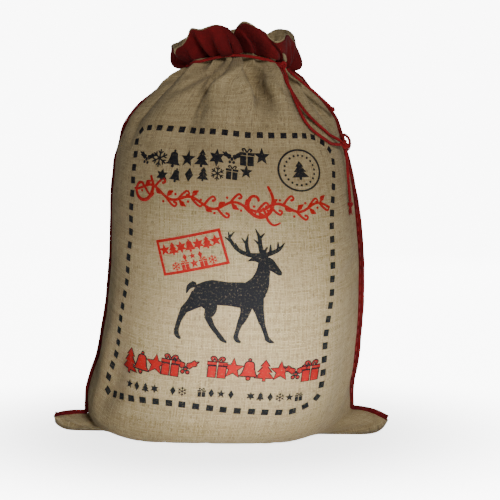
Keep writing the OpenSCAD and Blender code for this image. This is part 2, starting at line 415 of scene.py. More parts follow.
# ---------------------------------------------------------------- drawstring routes, in millimetres
CORD_D = 4.5
NECK_KNOT_AT = (91, -47, 517)
SLIP_KNOT_AT = (177, -41, 411)
UPPER_ROUTE = [
    (94, -50, 512), (103, -54, 499), (112, -60, 486), (121, -68, 473), (133, -74, 457), (143, -73, 445),
    (154, -66, 434), (164, -55, 424), (173, -44, 414),
]
LOWER_ROUTE = [
    (90, -52, 512), (96, -67, 494), (104, -73, 482), (115, -80, 467), (128, -85, 449), (140, -82, 435),
    (153, -74, 422), (164, -60, 413), (173, -46, 410),
]
LOOP_ROUTE = [
    (176, -34, 416), (174, -25, 422), (177, -16, 422), (182, -12, 416), (183, -15, 408), (181, -24, 403),
    (179, -34, 405),
]
LONG_ROUTE = [
    (178.5, -41.5, 403), (180.5, -45, 390), (181.5, -47.5, 378), (182.3, -49, 366), (183.4, -50.4, 354),
    (184.6, -52, 342), (185.4, -53, 333),
]
SHORT_ROUTE = [
    (99, -46, 513), (109, -48, 504), (122, -44, 493), (135, -41, 482), (147, -38, 471), (158, -31.5, 460),
]
LONG_END_AT = (185.8, -53.2, 329)
SHORT_END_AT = (160, -30, 458)


def near_cords(points, reach):
    """1 on the cloth under the drawstring's free strands, falling to 0 at that distance from them."""
    routes = UPPER_ROUTE + LOWER_ROUTE + LOOP_ROUTE + LONG_ROUTE + SHORT_ROUTE
    route = np.array(routes + [SHORT_END_AT, LONG_END_AT], float)
    shape = points.shape[:-1]
    flat = points.reshape(-1, 3)
    nearest = np.full(len(flat), 1e9)
    for p in np.concatenate([route, (route[1:] + route[:-1]) / 2]):
        nearest = np.minimum(nearest, np.linalg.norm(flat - p, axis=1))
    return ease(1 - (nearest - 8) / reach).reshape(shape)


def match_sides(grid):
    """Moves the cloth by the two seams, smoothly, so that each seam keeps to the profile's side line."""
    grid = grid.copy()
    k = np.arange(2 * COLS)
    for column, sign in ((0, -1), (COLS, 1)):
        seam = grid[:, column]
        wanted = profile(seam[:, 2], 3) + sign * profile(seam[:, 2], 1)
        shift = wanted - seam[:, 0]
        above_ear = ease((seam[:, 2] - 45) / 30) * ease((NECK_Z + 4 - seam[:, 2]) / 14)
        shift = smooth_along(shift * above_ear, 9)
        back = smooth_along(-seam[:, 1] * above_ear, 9)
        apart = np.minimum(np.abs(k - column), 2 * COLS - np.abs(k - column)) * CELL
        weight = ease(1 - apart / 150)
        grid[..., 0] += shift[:, None] * weight
        grid[..., 1] += back[:, None] * weight
    return grid


# ---------------------------------------------------------------- cloth simulation of the filled sack
SIM_FRAMES = 24
SIM_MOST_MM = 26.0      # how far a point may move
CLOTH_SETTINGS = {
    "quality": 7, "mass": 0.12, "tension_stiffness": 60, "compression_stiffness": 20, "shear_stiffness": 6,
    "bending_stiffness": 0.8, "tension_damping": 10, "compression_damping": 10, "shear_damping": 10,
    "bending_damping": 1, "air_damping": 3, "vertex_group_mass": "held", "pin_stiffness": 6,
    "use_pressure": True, "uniform_pressure_force": 9.0, "vertex_group_pressure": "filled",
}


def settle(grid):
    """The cloth, cut to its flat size, filled out by pressure and standing on the floor; the neck is held."""
    rows, cols = grid.shape[:2]
    ids = fold_ids(rows, cols)
    used = np.unique(ids)
    number = -np.ones(rows * cols, int)
    number[used] = np.arange(len(used))
    ids = number[ids]
    points = grid.reshape(-1, 3)[used]
    k = np.arange(cols)
    flat_x = np.where(k <= COLS, k * CELL - FLAT_W / 2, FLAT_W / 2 - (k - COLS) * CELL)
    side = np.where((k > 0) & (k < COLS), -0.05, np.where(k > COLS, 0.05, 0))
    rest = np.zeros((rows, cols, 3))
    rest[..., 0], rest[..., 1], rest[..., 2] = flat_x, side, (np.arange(rows) * CELL)[:, None]
    rest[0, :, 1] = 0
    rest = rest.reshape(-1, 3)[used]
    body = add_mesh("cloth_form", points, grid_faces(ids)[0])
    body.shape_key_add(name="Basis")
    flat_key = body.shape_key_add(name="flat")
    flat_key.data.foreach_set("co", (rest * MM).astype(np.float32).ravel())
    flat_key.value = 0
    s = rest[:, 2]
    hold = 0.05 + 0.95 * ease((s - (NECK_S - 30)) / 28)
    hold = np.maximum(hold, 0.6 * near_cords(points, 40))
    pin = body.vertex_groups.new(name="held")
    for v, w in enumerate(hold):
        pin.add([v], float(w), "REPLACE")
    filled = body.vertex_groups.new(name="filled")
    filled.add([int(v) for v in np.flatnonzero(s < NECK_S - 40)], 1.0, "REPLACE")
    cloth = body.modifiers.new("cloth", "CLOTH")
    for key, value in CLOTH_SETTINGS.items():
        setattr(cloth.settings, key, value)
    cloth.settings.rest_shape_key = flat_key
    cloth.settings.effector_weights.gravity = 0.2
    cloth.collision_settings.use_self_collision = False
    cloth.collision_settings.distance_min = 0.002
    ground = add_mesh("ground", [(x * 900, y * 900, -1) for x, y in SQUARE], [(0, 1, 2, 3)])
    ground.modifiers.new("stop", "COLLISION")
    ground.collision.thickness_outer = 0.002
    ground.collision.cloth_friction = 20
    cloth.point_cache.frame_start, cloth.point_cache.frame_end = 1, SIM_FRAMES
    for step in range(1, SIM_FRAMES + 1):
        scene.frame_set(step)
    solved = body.evaluated_get(bpy.context.evaluated_depsgraph_get()).to_mesh()
    moved = np.zeros(len(points) * 3, np.float32)
    solved.vertices.foreach_get("co", moved)
    moved = moved.reshape(-1, 3) / MM
    scene.frame_set(1)
    for done in (body, ground):
        mesh = done.data
        bpy.data.objects.remove(done)
        bpy.data.meshes.remove(mesh)
    push = moved - points
    length = np.linalg.norm(push, axis=1, keepdims=True)
    push *= np.minimum(1, SIM_MOST_MM / np.maximum(length, 1e-6))
    settled = match_sides((points + push)[ids])
    keep = near_cords(grid, 35)[..., None]
    settled = settled * (1 - keep) + grid * keep
    settled[..., 2] = np.maximum(settled[..., 2], 0.8)
    return settled


sack = sack_grid()
sack = settle(sack)


# ---------------------------------------------------------------- cloth with a thickness
SHOWN_CELL = CELL / 2               # the shown cloth has two cells for each cell of the simulated one
CLOTH_T = 1.5
FLOOR_GAP = 0.3
NEAR_FLOOR = 160.0                  # the cloth below this height is let down to the floor
NECK_MID = (29.0, 0.0)
PINCH = 3.0                         # how far the drawstring pulls the cloth in


def grid_normals(grid, closed=True):
    """Unit normals on the outside of a cloth grid whose rows go up and whose columns go round."""
    if closed:
        across = np.roll(grid, -1, axis=1) - np.roll(grid, 1, axis=1)
    else:
        across = np.gradient(grid, axis=1)
    return unit(np.cross(across, np.gradient(grid, axis=0)))


def cloth_piece(name, outside, thick, closed=True, first_column=0, first_s=0.0, cell_s=SHOWN_CELL):
    """A cloth of that thickness, from the grid of its outside. Closed: all round, and folded at the base."""
    rows, cols = outside.shape[:2]
    inside = outside - thick * grid_normals(outside, closed)
    out_ids = fold_ids(rows, cols) if closed else np.arange(rows * cols).reshape(rows, cols)
    in_ids = out_ids + rows * cols
    faces, places = grid_faces(out_ids, closed)
    back_faces, back_places = grid_faces(in_ids, closed)
    at = 0
    for face in back_faces:
        n = len(face)
        faces.append(face[::-1])
        places.extend(back_places[at:at + n][::-1])
        at += n

    def edge(outer, inner, where, turned):
        """A strip of faces between the two sides of the cloth, along a row or a column of both."""
        for i in range(len(outer) - 1):
            face = [int(outer[i]), int(outer[i + 1]), int(inner[i + 1]), int(inner[i])]
            at_corners = [where[i], where[i + 1], where[i + 1], where[i]]
            faces.append(face[::-1] if turned else face)
            places.extend(at_corners[::-1] if turned else at_corners)

    def row_edge(row, turned):
        ends = [0] if closed else []
        order = list(range(cols)) + ends
        edge(out_ids[row][order], in_ids[row][order], [(k, row) for k in range(cols + len(ends))], turned)

    row_edge(rows - 1, False)
    if not closed:
        row_edge(0, True)
        for column, turned in ((0, False), (cols - 1, True)):
            edge(out_ids[:, column], in_ids[:, column], [(column, r) for r in range(rows)], turned)
    uvs = np.array(places, float)
    uvs[:, 0] = (uvs[:, 0] + first_column) * SHOWN_CELL - FLAT_W / 2
    uvs[:, 1] = first_s + uvs[:, 1] * cell_s
    points = np.concatenate([outside.reshape(-1, 3), inside.reshape(-1, 3)])
    return drop_unused(name, points, faces, uvs)


def drop_unused(name, points, faces, uvs):
    """Makes the mesh from only those points that a face uses."""
    used = np.unique(np.concatenate([np.asarray(f) for f in faces]))
    number = -np.ones(len(points), int)
    number[used] = np.arange(len(used))
    return add_mesh(name, points[used], [number[f].tolist() for f in faces], uvs)


# Gathers that fan down from the drawstring, as lines on the flat cloth: x, s, with depth and half width.
PLEATS_FRONT = [
    ([(-14, 674), (-30, 657), (-49, 632), (-69, 602)], 20.0, 8.5),
    ([(14, 674), (30, 652), (61, 616), (88, 568)], 24.0, 9.5),
    ([(46, 672), (80, 645), (118, 615), (150, 588)], 6.0, 6.5),
    ([(80, 674), (108, 656), (136, 640)], 5.0, 5.5),
    ([(-45, 672), (-92, 640), (-140, 606)], 8.0, 7.0),
    ([(-78, 672), (-122, 648), (-160, 622)], 6.5, 6.0),
    ([(-120, 672), (-160, 652), (-195, 634)], 6.0, 6.0),
    ([(-170, 672), (-196, 650), (-215, 626)], 6.0, 6.0),
    ([(110, 672), (140, 650), (172, 634)], 5.5, 6.0),
    ([(160, 672), (188, 645), (205, 622)], 6.0, 6.0),
]
# Soft creases lower down the front, where the filled cloth slackens.
CREASES_FRONT = [
    ([(-196, 128), (-172, 160), (-160, 205), (-170, 250)], 6.0, 14.0),
    ([(172, 90), (176, 150), (182, 215), (176, 290)], 3.0, 12.0),
    ([(-120, 96), (-60, 104), (0, 98), (70, 104), (130, 92)], 2.0, 16.0),
    ([(150, 330), (186, 342), (226, 348)], 3.5, 9.0),
    ([(-205, 420), (-170, 404), (-120, 398)], 2.2, 12.0),
]


def carve(grid, lines):
    """Presses valleys into the front along lines on the flat, each with a soft swelling on both sides."""
    rows, cols = grid.shape[:2]
    normals = grid_normals(grid)
    k = np.arange(cols)
    flat_x = k * SHOWN_CELL - FLAT_W / 2
    s = np.arange(rows) * SHOWN_CELL
    panel = k <= cols // 2
    push = np.zeros((rows, cols))
    for axis in range(3):
        for r in range(rows):
            normals[r, :, axis] = smooth_round(normals[r, :, axis], 7)
        normals[..., axis] = np.stack([smooth_along(normals[:, c, axis], 9) for c in range(cols)], axis=1)
    normals = unit(normals)
    for points, depth, half in lines:
        line = smooth_line(points, 12)
        nearest = np.full((rows, cols), 1e9)
        place_on = np.zeros((rows, cols))
        for i, (x, y) in enumerate(line):
            away = np.hypot(flat_x[None, :] - x, s[:, None] - y)
            closer = away < nearest
            nearest[closer] = away[closer]
            place_on[closer] = i / (len(line) - 1)
        from_neck = points[0][1] > NECK_S - 75
        strength = depth * ease((1 - place_on) / 0.55 if from_neck else 4 * place_on * (1 - place_on))
        width = half * (1 + 0.8 * place_on)
        valley = np.exp(-(nearest / width) ** 2)
        swell = 0.45 * np.exp(-((nearest - 2.1 * width) / width) ** 2)
        push += strength * (swell - valley) * panel[None, :]
    push *= 1 - near_cords(grid, 14)
    normals[..., 2] *= 1 - ease((s - (NECK_S - 70)) / 50)[:, None]
    return grid + normals * push[..., None]


def pinch_neck(grid):
    """The drawstring's turn pulls the last 20 mm of the sack in, so the cloth bulges a little below it."""
    rows = grid.shape[0]
    s = np.arange(rows) * SHOWN_CELL
    pull = PINCH * ease((s - (NECK_S - 16)) / 16)[:, None]
    radial = grid[..., :2] - np.array(NECK_MID)
    length = np.linalg.norm(radial, axis=-1)
    grid = grid.copy()
    grid[..., :2] -= radial / length[..., None] * pull[..., None]
    return grid


# ---------------------------------------------------------------- frill above the drawstring
FRILL_CUT = 62.0        # cloth above the drawstring
FRILL_ROWS = 26
BAND_FROM = 0.16        # the red band starts at this share of the way from the neck to the lip
BAND_T, BAND_GAP = 1.0, 1.9
# The lip as it lies, from the left seam round the front to the right seam, then round the back. Each point
# has its place x, y, z, and how far outwards and upwards the cloth heads on its way there from the neck.
LIP_FRONT = [
    (-58, 12, 550, 24, -2), (-64, -6, 547, 26, -2), (-61, -24, 543, 24, -3), (-54, -40, 536, 15, 0),
    (-50, -56, 531, 9, 2), (-53, -70, 534, 16, 4), (-51, -75, 541, 19, 7), (-43, -63, 547, 6, 9),
    (-37, -59, 557, 7, 12), (-31, -67, 568, 17, 10), (-17, -73, 567, 25, 7), (1, -79, 573, 27, 5),
    (15, -72, 571, 16, 12), (24, -51, 561, 1, 22), (31, -60, 571, 9, 17), (42, -78, 577, 24, 9),
    (57, -81, 571, 28, 4), (69, -72, 563, 24, 3), (76, -71, 555, 20, 3), (85, -77, 550, 24, 0),
    (95, -72, 554, 25, -2), (97, -57, 561, 16, 0), (102, -42, 557, 22, -4), (107, -22, 547, 25, -5),
]
LIP_BACK = [
    (110, 0, 536, 24, -5), (109, 20, 539, 21, -3), (103, 38, 550, 14, 2), (97, 52, 564, 22, 5),
    (84, 66, 568, 26, 5), (70, 71, 566, 22, 6), (59, 58, 560, 6, 16), (47, 54, 561, 8, 16),
    (34, 68, 567, 24, 6), (18, 76, 569, 26, 5), (2, 68, 564, 20, 8), (-9, 53, 559, 5, 17),
    (-22, 61, 564, 20, 8), (-36, 64, 563, 24, 4), (-48, 46, 558, 14, 6), (-55, 28, 553, 20, 1),
]


def through(points, count, closed=False):
    """A smooth curve through given points, cut into count equal steps."""
    p = np.array(points, float)
    if closed:
        ends = np.concatenate([p[-1:], p, p[:2]])
    else:
        ends = np.concatenate([[2 * p[0] - p[1]], p, [2 * p[-1] - p[-2]]])
    fine = []
    for a, b, c, d in zip(ends[:-3], ends[1:-2], ends[2:-1], ends[3:]):
        t = (np.arange(16) / 16)[:, None]
        fine.append(0.5 * (2 * b + (c - a) * t + (2 * a - 5 * b + 4 * c - d) * t ** 2
                           + (3 * b - a - 3 * c + d) * t ** 3))
    fine.append([ends[-2]])
    fine = np.concatenate(fine)
    length = np.concatenate([[0], np.cumsum(np.linalg.norm(np.diff(fine[:, :3], axis=0), axis=1))])
    want = np.linspace(0, length[-1], count + 1)
    return np.stack([np.interp(want, length, fine[:, i]) for i in range(fine.shape[1])], axis=1)


def frill_grid(neck):
    """Rows from the drawstring to the lip; each column leaves the neck upwards and bends over."""
    half = len(neck) // 2
    whole = LIP_FRONT + LIP_BACK
    front_reach = through(whole[:len(LIP_FRONT) + 1], half)
    back_reach = through(whole[len(LIP_FRONT):] + whole[:1], half)
    lip = np.concatenate([front_reach[:-1], back_reach[:-1]])
    radial = neck[:, :2] - np.array(NECK_MID)
    outward = np.zeros_like(neck)
    outward[:, :2] = unit(radial)
    middle = neck + outward * lip[:, 3:4] + np.array([0, 0, 1.0]) * lip[:, 4:5]
    v = np.linspace(0, 1, FRILL_ROWS + 1)[:, None, None]
    grid = (1 - v) ** 2 * neck + 2 * v * (1 - v) * middle + v ** 2 * lip[:, :3]
    turn = np.arctan2(radial[:, 1], radial[:, 0])
    fine_folds = 1.1 * np.cos(26 * turn + 2 * np.sin(3 * turn)) + 0.6 * np.cos(41 * turn + 1.0)
    return grid + outward * (fine_folds[:, None] * (4 * v * (1 - v) * (1 - 0.5 * v)))


def add_frill(grid):
    """Jute and red band of the front and back lips; each bends from the sack's neck to its own lip's body."""
    half = grid.shape[1] // 2
    around = np.concatenate([grid, grid[:, :1]], axis=1)
    steps = grid.shape[0] - 1
    band_first = round(BAND_FROM * steps)
    normals = grid_normals(grid)
    normals = np.concatenate([normals, normals[:, :1]], axis=1)
    cell_s = FRILL_CUT / steps
    for side, first, sign in (("front", 0, -1), ("back", half, 1)):
        part = around[:, first:first + half + 1]
        jute = cloth_piece("frill_" + side + "_jute", part, CLOTH_T, False, first, NECK_S, cell_s)
        outer = (around + BAND_GAP * normals)[band_first:, first:first + half + 1]
        outer[-1] += (outer[-2] - outer[-1]) * 0.45
        band = cloth_piece("mouth_band_" + side + "_cloth", outer, BAND_T, False, first,
                           NECK_S + band_first * cell_s, cell_s)
        seam_side = "left" if side == "front" else "right"
        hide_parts("frill_" + side, "frill_" + seam_side)
        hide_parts("mouth_band_" + side, "mouth_band_" + seam_side)
        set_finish(jute, "jute")
        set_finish(band, "red_cloth")
        for piece in (jute, band):
            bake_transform(piece)


# ---------------------------------------------------------------- tubes, twisted cord and knots
def frames_along(path):
    """Tangent and two side directions at each point of a path, turning as little as they can."""
    tangent = unit(np.gradient(path, axis=0))
    start = np.array([0, 1.0, 0]) if abs(tangent[0][1]) < 0.8 else np.array([1.0, 0, 0])
    side = np.zeros_like(path)
    side[0] = unit(np.cross(start, tangent[0]))
    for i in range(1, len(path)):
        side[i] = unit(side[i - 1] - np.dot(side[i - 1], tangent[i]) * tangent[i])
    return tangent, side, np.cross(tangent, side)


def tube(path, radius, sides=8):
    """A round tube along a path, with closed rounded ends. radius is one number or one for each point."""
    path = np.asarray(path, float)
    _, side, other = frames_along(path)
    radius = np.broadcast_to(np.asarray(radius, float), (len(path),))
    angle = np.arange(sides) * 2 * math.pi / sides
    rings = path[:, None] + radius[:, None, None] * (
        np.cos(angle)[None, :, None] * side[:, None] + np.sin(angle)[None, :, None] * other[:, None])
    rows = len(path)
    ids = np.arange(rows * sides).reshape(rows, sides)
    faces, places = grid_faces(ids)
    tangent = unit(np.gradient(path, axis=0))
    tips = np.array([path[0] - 0.6 * radius[0] * tangent[0], path[-1] + 0.6 * radius[-1] * tangent[-1]])
    points = np.concatenate([rings.reshape(-1, 3), tips])
    for k in range(sides):
        j = (k + 1) % sides
        faces.append([int(ids[0, j]), int(ids[0, k]), rows * sides])
        faces.append([int(ids[-1, k]), int(ids[-1, j]), rows * sides + 1])
        places.extend([(k + 1, 0), (k, 0), (k + 0.5, -1), (k, rows - 1), (k + 1, rows - 1), (k + 0.5, rows)])
    step = np.linalg.norm(np.diff(path, axis=0), axis=1).mean()
    return points, faces, np.array(places, float) * (2 * math.pi * radius.mean() / sides, step)


def joined(parts):
    """Several (points, faces, uvs) as one."""
    points, faces, uvs, shift = [], [], [], 0
    for p, f, u in parts:
        points.append(p)
        uvs.append(u)
        faces.extend([[v + shift for v in face] for face in f])
        shift += len(p)
    return np.concatenate(points), faces, np.concatenate(uvs)


PLIES = 3
LAY = 13.0              # length of one full twist of the plies
CORD_STEP = 1.3
MOST_DROP = 7.0         # how far a cord's line may be let down on to the cloth
MOST_LIFT = 14.0


def twisted(path, diameter=CORD_D):
    """Three plies laid round each other along a path."""
    path = np.asarray(path, float)
    _, side, other = frames_along(path)
    run = np.concatenate([[0], np.cumsum(np.linalg.norm(np.diff(path, axis=0), axis=1))])
    ply_r, off = 0.27 * diameter, 0.235 * diameter
    parts = []
    for k in range(PLIES):
        angle = 2 * math.pi * (run / LAY + k / PLIES)
        centre = path + off * (np.cos(angle)[:, None] * side + np.sin(angle)[:, None] * other)
        parts.append(tube(centre, ply_r, 8))
    return joined(parts)


def route_path(route):
    """A listed route as a smooth line of even steps."""
    rough = through(route, 64)
    length = np.linalg.norm(np.diff(rough, axis=0), axis=1).sum()
    return through(route, int(length / CORD_STEP))


def lying_on(path, cloth, normals):
    """Moves a cord's line on to the cloth: just clear of it, and straight across its hollows."""
    flat, way = cloth.reshape(-1, 3), normals.reshape(-1, 3)
    shift, outward = np.zeros(len(path)), np.zeros(path.shape)
    for i, point in enumerate(path):
        apart = point - flat
        near = np.argsort((apart ** 2).sum(axis=1))[:6]
        above = (apart[near] * way[near]).sum(axis=1)
        shift[i] = np.clip(CORD_D / 2 + 0.2 - above.min(), -MOST_DROP, MOST_LIFT)
        outward[i] = way[near].mean(axis=0)
    reach = 7
    padded = np.concatenate([np.full(reach, shift[0]), shift, np.full(reach, shift[-1])])
    shift = np.array([padded[i:i + 2 * reach + 1].max() for i in range(len(path))])
    outward = np.stack([smooth_along(outward[:, axis], 21) for axis in range(3)], axis=1)
    from_end = np.minimum(np.arange(len(path)), np.arange(len(path))[::-1])
    shift = smooth_along(shift, 15) * ease(from_end / 18)
    return path + unit(outward) * shift[:, None]


def knot_path(centre, size, turn):
    """An overhand knot pulled tight: a trefoil's line, inside a ball of that radius."""
    t = np.linspace(0, 2 * math.pi, 97)[:-1] + 0.3
    line = np.stack([
        np.sin(t) + 2 * np.sin(2 * t), np.cos(t) - 2 * np.cos(2 * t), -1.3 * np.sin(3 * t),
    ], axis=1)
    line *= (size - 0.42 * CORD_D) / 3
    a, b = (math.radians(x) for x in turn)
    spin = np.array([[math.cos(a), -math.sin(a), 0], [math.sin(a), math.cos(a), 0], [0, 0, 1]])
    tip = np.array([[1, 0, 0], [0, math.cos(b), -math.sin(b)], [0, math.sin(b), math.cos(b)]])
    return line @ (spin @ tip).T + np.array(centre, float)


def add_knot(name, node, centre, size, turn, body):
    path = knot_path(centre, size, turn)
    knot = add_mesh(name, *twisted(path, CORD_D * min(1, size / 6)))
    return place(knot, body, "red_cord", node)


def place(piece, body, slot, *nodes):
    """Rides a finished piece on its body, with its material slot and the CAD nodes that it stands for."""
    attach(piece, body)
    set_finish(piece, slot)
    if nodes:
        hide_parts(*nodes)
    return piece


def neck_turn(neck):
    """The drawstring round the outside of the gathers, from the neck knot back to it."""
    radial = neck[:, :2] - np.array(NECK_MID)
    reach = np.linalg.norm(radial, axis=1)
    count = len(reach)
    window = 7
    ridge = np.array([reach[(np.arange(i - window, i + window + 1)) % count].max() for i in range(count)])
    out = unit(radial) * (smooth_round(ridge, window) + 0.4 * CORD_D)[:, None]
    angle = np.arctan2(radial[:, 1], radial[:, 0])
    height = NECK_Z + 2.0 + NECK_RISE * np.sin(angle) ** 2
    line = np.concatenate([out + np.array(NECK_MID), height[:, None]], axis=1)
    start = int(np.argmin(np.abs(angle - math.radians(-38))))
    line = np.roll(line, -start, axis=0)[::6]
    knot = np.array(NECK_KNOT_AT, float)
    return through(np.concatenate([[knot + (1, 3, 1)], line[1:-1], [knot + (-2, 3, 0)]]), 330)


def add_drawstring(cloth):
    """The turn, the two strands to the second knot, its loop, and the two tails with their knots."""
    turn = add_mesh("drawstring_turn", *twisted(neck_turn(cloth[-1])))
    place(turn, "sack", "red_cord", "neck_drawstring")
    add_knot("drawstring_knot", "neck_knot", NECK_KNOT_AT, 8, (20, 70), "sack")
    slip = add_knot("drawstring_slip_knot", "slip_knot", SLIP_KNOT_AT, 7, (65, 60), "sack")
    tail_end = add_knot("long_tail_end_knot", "long_tail_knot", LONG_END_AT, 4.5, (0, 80), "long_tail")
    short_end = add_knot("short_tail_end_knot", "short_tail_knot", SHORT_END_AT, 4.5, (40, 40), "short_tail")
    tuft = add_tuft()
    free = [
        ("upper_strand", UPPER_ROUTE, "sack", "knot", [slip]),
        ("lower_strand", LOWER_ROUTE, "sack", "knot", [slip]),
        ("small_loop", LOOP_ROUTE, "small_loop", "object", []),
        ("long_tail", LONG_ROUTE, "long_tail", "knot", [tail_end, tuft]),
        ("short_tail", SHORT_ROUTE, "short_tail", "knot", [short_end]),
    ]
    normals = grid_normals(cloth)
    for node, route, body, far_end, on_it in free:
        path = route_path(route)
        if body == "sack":
            path = lying_on(path, cloth, normals)
        piece = add_mesh(node + "_cord", *twisted(path))
        place(piece, body, "red_cord", node)


TUFT_FIBRES = 30
GOLDEN_TURN = 2.39996   # spreads the fibres evenly over the cord's end


def add_tuft():
    """Loose fibres of the long tail below its end knot."""
    fibres = []
    top = np.array(LONG_END_AT, float) - (0, 0, 3.4)
    for i in range(TUFT_FIBRES):
        turn = i * GOLDEN_TURN
        lean = np.array([math.cos(turn), math.sin(turn), 0]) * math.sqrt((i + 0.5) / TUFT_FIBRES)
        long = 9 + 2.5 * math.sin(3.7 * i)
        middle = top + lean * 2.0 - (0, 0, 0.45 * long)
        tip = top + lean * (3.1 + 0.5 * math.sin(i)) - (0, 0, long)
        fibres.append(tube(through([top + lean * 1.2, middle, tip], 7), np.linspace(0.36, 0.2, 8), 5))
    tuft = add_mesh("long_tail_frayed_end", *joined(fibres))
    return place(tuft, "long_tail", "red_cord", "long_tail_tuft")


# ---------------------------------------------------------------- side bindings and their stitching
TAPE_OUT = 5.4          # how far the tape stands out from the seam
TAPE_HALF = 1.55        # half its thickness
STITCH_PITCH, STITCH_LEN = 12.0, 7.0
STITCH_AT = 0.42        # the stitches run at this share of the tape's width
THREAD_R = 0.48


def seam_line(grid, column, sign):
    """The seam from the bottom corner's tip to the neck, with its ways outwards and through the cloth."""
    seam = grid[:, column].copy()
    for axis in range(3):
        seam[:, axis] = smooth_along(seam[:, axis], 7)
    seam = through(seam, 520)
    tangent = unit(np.gradient(seam, axis=0))
    for axis in range(3):
        tangent[:, axis] = smooth_along(tangent[:, axis], 15)
    tangent = unit(tangent)
    outward = unit(np.stack([sign * tangent[:, 2], 0 * tangent[:, 1], -sign * tangent[:, 0]], axis=1))
    return seam, outward, np.cross(tangent, outward)


def add_binding(grid, name, column, sign):
    """Red tape folded over the seam and sewn through, a little wavy and pinched at each stitch."""
    seam, outward, thick_way = seam_line(grid, column, sign)
    run = np.concatenate([[0], np.cumsum(np.linalg.norm(np.diff(seam, axis=0), axis=1))])
    phase = 1.7 * sign
    below_neck = ease((run[-1] - run) / 130)
    reach = TAPE_OUT + 0.2 * np.sin(run / 17 + phase) + 0.1 * np.sin(run / 4.7 + 2 * phase)
    reach = reach * (0.42 + 0.58 * below_neck)
    if sign > 0:
        reach = reach * (1 + 0.5 * np.interp(seam[:, 2], (60, 110, 290, 350), (0, 1, 1, 0)))
    sway = (0.35 * np.sin(run / 31 + phase) + 0.12 * np.sin(run / 9)) * below_neck
    half = TAPE_HALF * (1 + 0.06 * np.cos(2 * math.pi * run / STITCH_PITCH))
    fold = np.linspace(-90, 90, 7)
    section = [(-1.6, -1.25), (0.2, -1.1), (0.5, -1.0)]
    section += [(0.72 + 0.28 * math.cos(math.radians(a)), math.sin(math.radians(a))) for a in fold]
    section += [(0.5, 1.0), (0.2, 1.1), (-1.6, 1.25)]
    rings = []
    for along, across in section:
        out = np.broadcast_to(along if along < 0 else along * reach, run.shape)
        aside = across * half + sway * np.clip(out / TAPE_OUT, 0, 1)
        rings.append(seam + outward * out[:, None] + thick_way * aside[:, None])
    rings = np.stack(rings, axis=1)
    rows, sides = rings.shape[:2]
    ids = np.arange(rows * sides).reshape(rows, sides)
    faces, places = grid_faces(ids)
    faces += [list(range(sides)), [int(v) for v in ids[-1][::-1]]]
    places += [(k, 0) for k in range(sides)] + [(k, rows - 1) for k in range(sides - 1, -1, -1)]
    uvs = np.array(places, float) * (1.1, run[-1] / (rows - 1))
    tape = add_mesh(name + "_tape", rings.reshape(-1, 3), faces, uvs)
    place(tape, "sack", "red_cloth", name)
    stitches = []
    at = float(np.interp(64, seam[:, 2], run))
    while at < run[-1] - STITCH_PITCH:
        for face in (-1, 1):
            line = []
            for i, d in enumerate(at + np.linspace(-0.5, 0.5, 6) * STITCH_LEN):
                base, out, way = (np.array([np.interp(d, run, field[:, a]) for a in range(3)])
                                  for field in (seam, outward, thick_way))
                sink = 0.7 if i in (0, 5) else 0.0
                lift = face * (1.05 * np.interp(d, run, half) + 0.25 - sink)
                lift += STITCH_AT * np.interp(d, run, sway)
                line.append(base + out * STITCH_AT * TAPE_OUT + way * lift)
            stitches.append(tube(through(line, 8), THREAD_R, 6))
        at += STITCH_PITCH
    thread = add_mesh(name.replace("binding", "stitching") + "_thread", *joined(stitches))
    place(thread, "sack", "red_thread", name.replace("binding", "stitching"))


# ---------------------------------------------------------------- print: ornaments on the flat front panel
# Places are millimetres on the flat cloth: x from the middle of the panel, s up from the base fold.
INK_POINTS = 4.0                    # spacing of the points inside an inked shape
INK_LIFT, INK_SINK = 0.28, 0.45     # the film's faces, above and below the cloth's outside
OUTLINE_HALF, OUTLINE_LIFT = 0.8, 0.12
SQUARE_PITCH, SQUARE_LONG, SQUARE_WIDE = 18.4, 9.4, 8.2
BORDER = [
    (-178, 163), (-163, 165), (-131, 172), (-95, 176), (-59, 177), (-25, 175), (9, 172), (44, 170), (79, 167),
    (96, 166), (116, 171), (131, 180), (136, 200), (137, 258), (146, 315), (153, 380), (157, 432), (176, 490),
    (181, 518), (161, 538), (134, 547), (53, 548), (-62, 552), (-132, 551), (-148, 538), (-143, 500),
    (-141, 445), (-145, 402), (-147, 366), (-154, 322), (-160, 285), (-164, 245), (-170, 215), (-180, 178),
]


def smooth_line(points, per=6):
    """A smooth open line through given flat points."""
    flat = [(x, y, 0) for x, y in points]
    return through(flat, per * (len(points) - 1))[:, :2]


def stroke(points, widths, per=6):
    """Outline of a brush stroke through the points; widths are half widths, which change evenly along it."""
    line = smooth_line(points, per) if len(points) > 2 else np.linspace(points[0], points[1], 5)
    run = np.linspace(0, len(points) - 1, len(line))
    widths = np.atleast_1d(widths)
    half = np.interp(run, np.linspace(0, len(points) - 1, len(widths)), widths)
    along = unit(np.gradient(line, axis=0))
    side = np.stack([-along[:, 1], along[:, 0]], axis=1)
    tip = line[-1] + along[-1] * half[-1] * 0.8
    tail = line[0] - along[0] * half[0] * 0.8
    return np.concatenate([line + side * half[:, None], [tip], (line - side * half[:, None])[::-1], [tail]])


def circle_points(x, y, r, count=28, stretch=1.0):
    a = np.arange(count) * 2 * math.pi / count
    return np.stack([x + r * stretch * np.cos(a), y + r * np.sin(a)], axis=1)


def turned(shape, degrees):
    a = math.radians(degrees)
    spin = np.array([[math.cos(a), -math.sin(a)], [math.sin(a), math.cos(a)]])
    return np.asarray(shape, float) @ spin.T


def star(points=5, inner=0.42):
    a = np.radians(90 + np.arange(2 * points) * 180 / points)
    r = np.where(np.arange(2 * points) % 2, inner, 1.0)
    return [np.stack([r * np.cos(a), r * np.sin(a)], axis=1)]


def diamond():
    return [np.array([(0, 1), (0.62, 0), (0, -1), (-0.62, 0)])]


